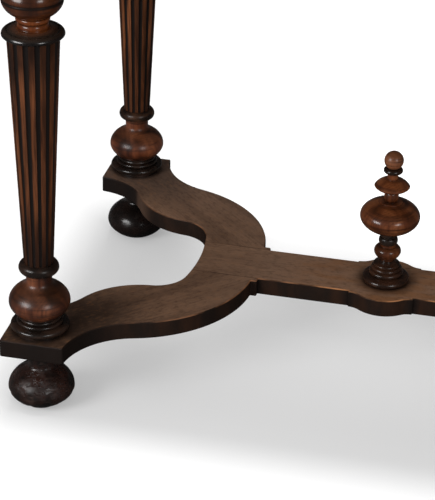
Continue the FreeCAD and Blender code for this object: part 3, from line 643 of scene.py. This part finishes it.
def ebonised(name, black, rubbed, wear, gloss, shine=0.5, cone=False, worn_back=None):
    """Black polish rubbed by wear from 0 to 1, to worn_back at the back legs. A collar's cone is brown, and
    its upward faces get a painted brown reflection.
    """
    n = Nodes(name)
    place = n.place()
    x, y, z = n.parts(place)
    rub = n.noise(n.scaled(place, EBONY_RUB))
    if worn_back:
        rubbed = n.mix(front_to_back(n, y), rubbed, worn_back)
    colour = n.mix(n.span(rub, *EBONY_WEAR, wear), black, rubbed)
    if cone:
        radius = n.math("ADD", leg_distance(n, x, y), n.times(rub, COLLAR_CONE_WANDER))
        # A painted brown reflection on the collar's upward faces.
        colour = n.mix(n.span(n.upward(), *COLLAR_UPWARD_REFLECTION), colour, COLLAR_REFLECTION_BROWN)
        colour = n.mix(n.span(radius, *COLLAR_CONE_REACH), colour, COLLAR_CONE)
    rough = n.rough(rub, least=gloss, most=gloss + EBONY_ROUGHER)
    return n.surface(Base_Color=colour, Roughness=rough, Specular_IOR_Level=shine,
                     Normal=n.bump(n.noise(place, scale=90), strength=0.02, relief=EBONY_RELIEF))


def worn_foot(name, wear):
    """Black polish rubbed brown by wear from 0 to 1, with scuffs and dark cracks."""
    n = Nodes(name)
    place = n.place()
    cloud = n.noise(place, scale=45)
    scuff = n.noise(n.scaled(place, SCUFF_SCALE), roughness=0.55, distortion=1.0)
    crack = n.noise(n.scaled(place, CRACK_SCALE), roughness=0.55, distortion=2.0)
    colour = n.mix(n.span(cloud, *FOOT_CLOUD, wear), FOOT_BLACK, FOOT_BROWN)
    colour = n.mix(n.span(scuff, *SCUFF_SPAN, SCUFF_MOST * wear), colour, FOOT_SCUFF)
    open_crack = n.times(n.span(n.off(crack, CRACK_LEVEL), *CRACK_WIDTH), n.span(cloud, *CRACK_CLOUD, wear))
    colour = n.mix(open_crack, colour, DIRT_AND_SHADE)
    rough = n.span(scuff, *SCUFF_ROUGH, FOOT_ROUGH + FOOT_ROUGHER * wear)
    height = n.math("SUBTRACT", n.times(scuff, SCUFF_HEIGHT), open_crack)
    return n.surface(Base_Color=colour, Roughness=rough, Specular_IOR_Level=0.4,
                     Normal=n.bump(height, strength=FOOT_BUMP * wear, relief=FOOT_RELIEF))


def plain_wood(name):
    n = Nodes(name)
    fibre = n.noise(n.scaled(n.place(), PLAIN_FIBRE), detail=4, roughness=0.6)
    return n.surface(Base_Color=n.ramp(fibre, TWO_STOPS, PLAIN_TONES),
                     Roughness=n.rough(fibre, least=0.55, most=0.75),
                     Normal=n.bump(fibre, strength=0.2, relief=FIBRE_RELIEF))


def screw_steel(name):
    n = Nodes(name)
    grain = n.noise(n.scaled(n.place(), STEEL_GRAIN))
    return n.surface(Base_Color=n.ramp(grain, TWO_STOPS, STEEL_TONES), Metallic=1.0,
                     Roughness=n.rough(grain, least=0.30, most=0.45))


def floor_paper(name):
    """Pale paper that the camera sees lifted towards white, with paler stretches of painted light, and that
    bounce and gloss see darker.
    """
    n = Nodes(name)
    path = n.add("ShaderNodeLightPath").outputs
    seen = path["Is Camera Ray"]
    unseen = n.mix(path["Is Glossy Ray"], grey(FLOOR_IN_BOUNCE), grey(FLOOR_IN_GLOSS))
    diffuse = n.add("ShaderNodeBsdfDiffuse")
    n.put(diffuse.inputs["Color"], n.mix(seen, unseen, grey(FLOOR_COLOUR)))
    x, y, z = n.parts(n.place())
    level = FLOOR_LIFT
    # Paler stretches of painted light where the floor would lie in the table's shadow
    for (front, back), (left, right), amount in FLOOR_PAINTED_LIGHT:
        painted_light = n.times(n.span(y, front, back, 0.0, amount), n.span(x, left, right))
        level = n.math("ADD", painted_light, level)
    lift = n.add("ShaderNodeEmission")
    n.put(lift.inputs["Strength"], n.times(seen, level))
    both = n.add("ShaderNodeAddShader")
    n.put(both.inputs[0], diffuse.outputs[0])
    n.put(both.inputs[1], lift.outputs[0])
    output = n.add("ShaderNodeOutputMaterial")
    n.put(output.inputs["Surface"], both.outputs[0])
    return n.material


def grey(level):
    return (level, level, level, 1)


# Pieces that stand for CAD nodes


def dress(node, material):
    """Gives a CAD object its material."""
    slots = frame["nodes"][node].data.materials
    slots.clear()
    slots.append(material)


def copied(node, name, material, shape):
    """A new piece made from a node's mesh, which shape(mesh) then works on."""
    source = frame["nodes"][node]
    mesh = bmesh.new()
    mesh.from_mesh(source.data)
    bmesh.ops.remove_doubles(mesh, verts=mesh.verts, dist=WELD_NEAR)
    shape(mesh)
    data = bpy.data.meshes.new(name)
    mesh.to_mesh(data)
    mesh.free()
    data.shade_smooth()
    data.set_sharp_from_angle(angle=SHARP_ANGLE)
    data.materials.append(material)
    piece = bpy.data.objects.new(name, data)
    bpy.context.scene.collection.objects.link(piece)
    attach(piece, "root")
    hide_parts(node)
    return piece


def half_round(inner, outer, low, height):
    """Points of a bead's half-round outline, from its foot to its top."""
    turns = [math.pi * step / BEAD_STEPS for step in range(BEAD_STEPS + 1)]
    return [(inner + (outer - inner) * math.sin(turn), low + height * (1 - math.cos(turn)) / 2)
            for turn in turns]


def turned_finial_base(mesh):
    """The finial's base: a wide torus, three small beads and a cone, turned round the middle axis."""
    low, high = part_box("finial_base")
    height = high.z - low.z
    outline = [(FINIAL_HOLE, 0.0)]
    for bead in FINIAL_BEADS:
        outline += half_round(*bead)
    outline += [FINIAL_CONE_FOOT, (FINIAL_CONE_TOP, height), (FINIAL_HOLE, height), (FINIAL_HOLE, 0.0)]
    mesh.clear()
    points = [mesh.verts.new((radius, 0.0, low.z + rise)) for radius, rise in outline]
    edges = [mesh.edges.new(pair) for pair in zip(points, points[1:])]
    bmesh.ops.spin(mesh, geom=points + edges, cent=(0, 0, 0), axis=(0, 0, 1), angle=2 * math.pi,
                   steps=TURN_STEPS, use_merge=True)
    bmesh.ops.remove_doubles(mesh, verts=mesh.verts, dist=WELD_NEAR)
    bmesh.ops.recalc_face_normals(mesh, faces=mesh.faces)


def soften_board(mesh):
    """Rounds a board's arrises, less along the seams."""
    join_flat_faces(mesh)
    round_arrises(mesh)


def soften_bar(mesh):
    """Rounds the arrises of the bar, whose long edges turn into seams at the arms."""
    join_flat_faces(mesh)
    for seam_start in (-SEAM_START, SEAM_START):
        bmesh.ops.bisect_plane(mesh, geom=mesh.verts[:] + mesh.edges[:] + mesh.faces[:],
                               plane_co=(seam_start, 0, 0), plane_no=(1, 0, 0))
    round_arrises(mesh)


def join_flat_faces(mesh):
    """Joins flat triangles into whole faces, apart from those of the seams, which have slots."""
    mesh.normal_update()
    kept = {edge for face in mesh.faces if is_seam_face(face) for edge in face.edges}
    kept_corners = {vertex for edge in kept for vertex in edge.verts}
    bmesh.ops.dissolve_limit(mesh, angle_limit=FLAT_ANGLE,
                             verts=[vertex for vertex in mesh.verts if vertex not in kept_corners],
                             edges=[edge for edge in mesh.edges if edge not in kept])


def round_arrises(mesh):
    """Bevels the arrises, first those in the open and then those of the seams."""
    for seam, width in ((False, ARRIS), (True, SEAM_ARRIS)):
        edges = [edge for edge in mesh.edges if is_arris(edge) and on_seam(edge) == seam]
        bmesh.ops.bevel(mesh, geom=edges, offset=width, offset_type="OFFSET", segments=ARRIS_STEPS,
                        profile=0.5, affect="EDGES", clamp_overlap=seam)
    bmesh.ops.remove_doubles(mesh, verts=mesh.verts, dist=CLEAN_NEAR)
    bmesh.ops.dissolve_degenerate(mesh, dist=CLEAN_NEAR / 2, edges=mesh.edges)


def is_seam_face(face):
    return all(abs(abs(vertex.co.y) - SEAM_Y) < SEAM_ARRIS for vertex in face.verts)


def is_arris(edge):
    """Whether a board's edge is sharp and neither in a hole nor the upright edge of a small step."""
    if len(edge.link_faces) != 2 or edge.calc_face_angle() < SHARP_ANGLE:
        return False
    if all(min(from_axis(vertex.co), vertex.co.xy.length) < HOLE_REACH for vertex in edge.verts):
        return False
    start, end = (vertex.co.xy for vertex in edge.verts)
    neighbours = [other for vertex in edge.verts for other in vertex.link_edges]
    return (start - end).length > CLEAN_NEAR or min(other.calc_length() for other in neighbours) > 2 * ARRIS


def on_seam(edge):
    return all(abs(abs(vertex.co.y) - SEAM_Y) < SEAM_ARRIS and abs(vertex.co.x) > SEAM_START - SEAM_ARRIS
               for vertex in edge.verts)


def rounded_rim(mesh):
    """Makes the rim of an upper collar a full round."""
    outer = max(from_axis(vertex.co) for vertex in mesh.verts)
    rim = min(vertex.co.z for vertex in mesh.verts if from_axis(vertex.co) > outer - RIM_NEAR)
    start = outer - RIM_ROUND
    for vertex in mesh.verts:
        beyond = (from_axis(vertex.co) - start) / RIM_ROUND
        if beyond > 0 and vertex.co.z > rim:
            vertex.co.z = max(vertex.co.z, rim + RIM_ROUND * math.sqrt(max(0.0, 1 - beyond ** 2)))


def from_axis(place):
    """Distance of a place from the axis of the nearest leg."""
    return math.hypot(abs(place.x) - LEG_X, abs(place.y) - LEG_Y)


def flared_neck(mesh):
    """Settles the neck of a leg head and spreads its foot into a small flare on the collar."""
    neck = HEAD_CUP_Z - HEAD_FOOT_Z
    for vertex in mesh.verts:
        radius = from_axis(vertex.co)
        rise = vertex.co.z - HEAD_FOOT_Z
        if radius > NECK_LEAST and rise < neck:
            rise = neck * max(0.0, rise / neck) ** NECK_SETTLE
            open_out = max(0.0, 1 - rise / FLARE_RISE) ** 2
            wider = max(radius, NECK_LEAST + (FLARE_RADIUS - NECK_LEAST) * open_out)
            axis = Vector((math.copysign(LEG_X, vertex.co.x), math.copysign(LEG_Y, vertex.co.y), 0))
            off_axis = (vertex.co - axis) * (wider / radius)
            vertex.co = (axis.x + off_axis.x, axis.y + off_axis.y, HEAD_FOOT_Z + rise)


def dented(depth, seed):
    """Settles the shoulder of a bun foot and wears it with shallow dents."""
    def shape(mesh):
        start = Vector((seed, 2 * seed, 3 * seed))
        mesh.normal_update()
        for vertex in mesh.verts:
            wear = noise.fractal(vertex.co * DENT_SCALE + start, DENT_FADE, DENT_FINER, DENT_OCTAVES)
            vertex.co -= vertex.normal * depth * max(0.0, wear)
            height = (vertex.co.z - FOOT_EQUATOR_Z) / (FOOT_TOP_Z - FOOT_EQUATOR_Z)
            vertex.co.z -= FOOT_DROP * math.sin(math.pi * min(1.0, max(0.0, height)))
    return shape


# The table

slot_of = {row["node"]: row["material_slot"] for row in frame["record"]["subparts"]}

finish = {
    "polished_walnut": polished_walnut("polished_walnut", WALNUT_TONES, gloss=0.31, top_shade=0.45,
                                       shade=("y", -LEG_Y, LEG_Y, 0.40)),
    "fluted_walnut": fluted_walnut("fluted_walnut"),
    "top_walnut": top_walnut("top_walnut", RAIL_PITH),
    "stretcher_walnut": stretcher_walnut("stretcher_walnut", diagonal=False),
    "ebonised": ebonised("ebonised", EBONY, EBONY_RUBBED, wear=0.9, gloss=0.24),
    "plain_wood": plain_wood("plain_wood"),
    "screw_steel": screw_steel("screw_steel"),
}
arm_walnut = stretcher_walnut("stretcher_arm_walnut", diagonal=True)
side_walnut = top_walnut("top_side_walnut", RAIL_PITH, SIDE_GRAIN_SHIFT, crosswise=True)
head_walnut = polished_walnut("polished_walnut_head", HEAD_TONES, gloss=0.19, top_shade=0.3,
                              shade=("z", HEAD_CUP_SHADE_Z, HEAD_CUP_Z, 0.62), ring_z=HEAD_LINE_Z)
finial_walnut = polished_walnut("polished_walnut_finial", FINIAL_TONES, gloss=0.20, top_shade=0.28,
                                shade=("z", *FINIAL_SHADE_Z, 0.46))
ball_walnut = polished_walnut("polished_walnut_ball", BALL_TONES, gloss=0.30, top_shade=0.35)
finial_black = ebonised("ebonised_finial", FINIAL_BLACK, FINIAL_RUBBED, wear=1.0, gloss=0.20)
lower_collar_black = ebonised("ebonised_lower_collar", EBONY, EBONY_RUBBED, wear=0.8, gloss=0.26, shine=0.3,
                              worn_back=EBONY_WORN)
collar_black = ebonised("ebonised_collar", COLLAR_BLACK, EBONY_RUBBED, wear=0.2, gloss=0.20, cone=True)

for node, slot in slot_of.items():
    dress(node, finish[slot])
for number, (board, pith) in enumerate(TOP_PITHS.items()):
    dress("top_board_" + board, top_walnut("top_walnut_" + board, pith, TOP_GRAIN_STEP * number))
for side in ("left", "right"):
    dress("frieze_rail_" + side, side_walnut)
dress("finial_top_ring", finial_black)
for piece in ("stem", "bulb", "spire"):
    dress("finial_" + piece, finial_walnut)
dress("finial_ball", ball_walnut)

copied("finial_base", "finial_base_beaded", finial_black, turned_finial_base)
boards = [copied("stretcher_bar", "stretcher_bar_worn", finish["stretcher_walnut"], soften_bar)]
for number, (corner, wear) in enumerate(FOOT_WEAR.items()):
    dress("lower_collar_" + corner, lower_collar_black)
    copied("leg_head_" + corner, "leg_head_flared_" + corner, head_walnut, flared_neck)
    copied("upper_collar_" + corner, "upper_collar_round_" + corner, collar_black, rounded_rim)
    boards.append(copied("stretcher_arm_" + corner, "stretcher_arm_worn_" + corner, arm_walnut, soften_board))
    copied("foot_" + corner, "foot_worn_" + corner, worn_foot("ebonised_foot_" + corner, wear),
           dented(FOOT_DENT * wear, DENT_SEED_STEP * number + DENT_FIRST_SEED))

for board in boards:
    board.modifiers.new("flat_faces", "WEIGHTED_NORMAL")

# The floor, the lights and the camera


def make_floor():
    mesh = bmesh.new()
    bmesh.ops.create_grid(mesh, x_segments=FLOOR_STEPS, y_segments=FLOOR_STEPS, size=FLOOR_HALF_WIDTH)
    data = bpy.data.meshes.new("floor")
    mesh.to_mesh(data)
    mesh.free()
    data.materials.append(floor_paper("floor_paper"))
    floor = bpy.data.objects.new("floor", data)
    bpy.context.scene.collection.objects.link(floor)


def light_room():
    """A white room, brighter above and in front, that gloss sees dim and the camera sees white."""
    world = bpy.data.worlds.new("room")
    bpy.context.scene.world = world
    world.use_nodes = True
    tree = world.node_tree
    background = tree.nodes["Background"]
    path = tree.nodes.new("ShaderNodeLightPath")
    towards = tree.nodes.new("ShaderNodeVectorMath")
    towards.operation = "DOT_PRODUCT"
    towards.inputs[1].default_value = ROOM_BRIGHT_SIDE
    tree.links.new(tree.nodes.new("ShaderNodeTexCoord").outputs["Generated"], towards.inputs[0])
    room = tree.nodes.new("ShaderNodeMapRange")
    room.interpolation_type = "SMOOTHSTEP"
    tree.links.new(towards.outputs["Value"], room.inputs["Value"])
    room.inputs["From Min"].default_value = ROOM_LOW_UP_TO
    room.inputs["To Min"].default_value = ROOM_LOW
    room.inputs["To Max"].default_value = ROOM_HIGH
    level = room.outputs[0]
    for ray, seen in (("Is Glossy Ray", ROOM_IN_GLOSS), ("Is Camera Ray", ROOM_IN_VIEW)):
        mix = tree.nodes.new("ShaderNodeMix")
        tree.links.new(path.outputs[ray], mix.inputs[0])
        tree.links.new(level, mix.inputs[2])
        mix.inputs[3].default_value = seen
        level = mix.outputs[0]
    background.inputs["Color"].default_value = (1, 1, 1, 1)
    tree.links.new(level, background.inputs["Strength"])


def soft_box(name, place, size, power):
    light = bpy.data.lights.new(name, "AREA")
    light.shape = "RECTANGLE"
    light.size, light.size_y = size
    light.energy = power
    box = bpy.data.objects.new(name, light)
    box.location = place
    box.rotation_euler = (Vector(BOX_AIM) - Vector(place)).to_track_quat("-Z", "Y").to_euler()
    box.visible_camera = False
    bpy.context.scene.collection.objects.link(box)


def overhead_light():
    light = bpy.data.lights.new("overhead", "SUN")
    light.energy = OVERHEAD_STRENGTH
    light.angle = math.radians(OVERHEAD_ANGLE)
    bpy.context.scene.collection.objects.link(bpy.data.objects.new("overhead", light))


def place_camera():
    """Sets the camera at its azimuth, elevation and distance, aimed at its target and rolled."""
    azimuth = math.radians(CAMERA_AZIMUTH)
    elevation = math.radians(CAMERA_ELEVATION)
    level = math.cos(elevation)
    back = Vector((math.sin(azimuth) * level, -math.cos(azimuth) * level, math.sin(elevation)))
    data = bpy.data.cameras.new("camera")
    data.lens = CAMERA_LENS
    data.sensor_width = CAMERA_SENSOR
    camera = bpy.data.objects.new("camera", data)
    camera.location = Vector(CAMERA_TARGET) + CAMERA_DISTANCE * back
    turn = (-back).to_track_quat("-Z", "Y") @ Quaternion((0, 0, 1), math.radians(CAMERA_ROLL))
    camera.rotation_euler = turn.to_euler()
    bpy.context.scene.collection.objects.link(camera)
    bpy.context.scene.camera = camera


make_floor()
light_room()
soft_box("left_box", LEFT_BOX_PLACE, LEFT_BOX_SIZE, LEFT_BOX_POWER)
soft_box("right_box", RIGHT_BOX_PLACE, RIGHT_BOX_SIZE, RIGHT_BOX_POWER)
overhead_light()
place_camera()
bpy.context.scene.view_settings.view_transform = "Standard"
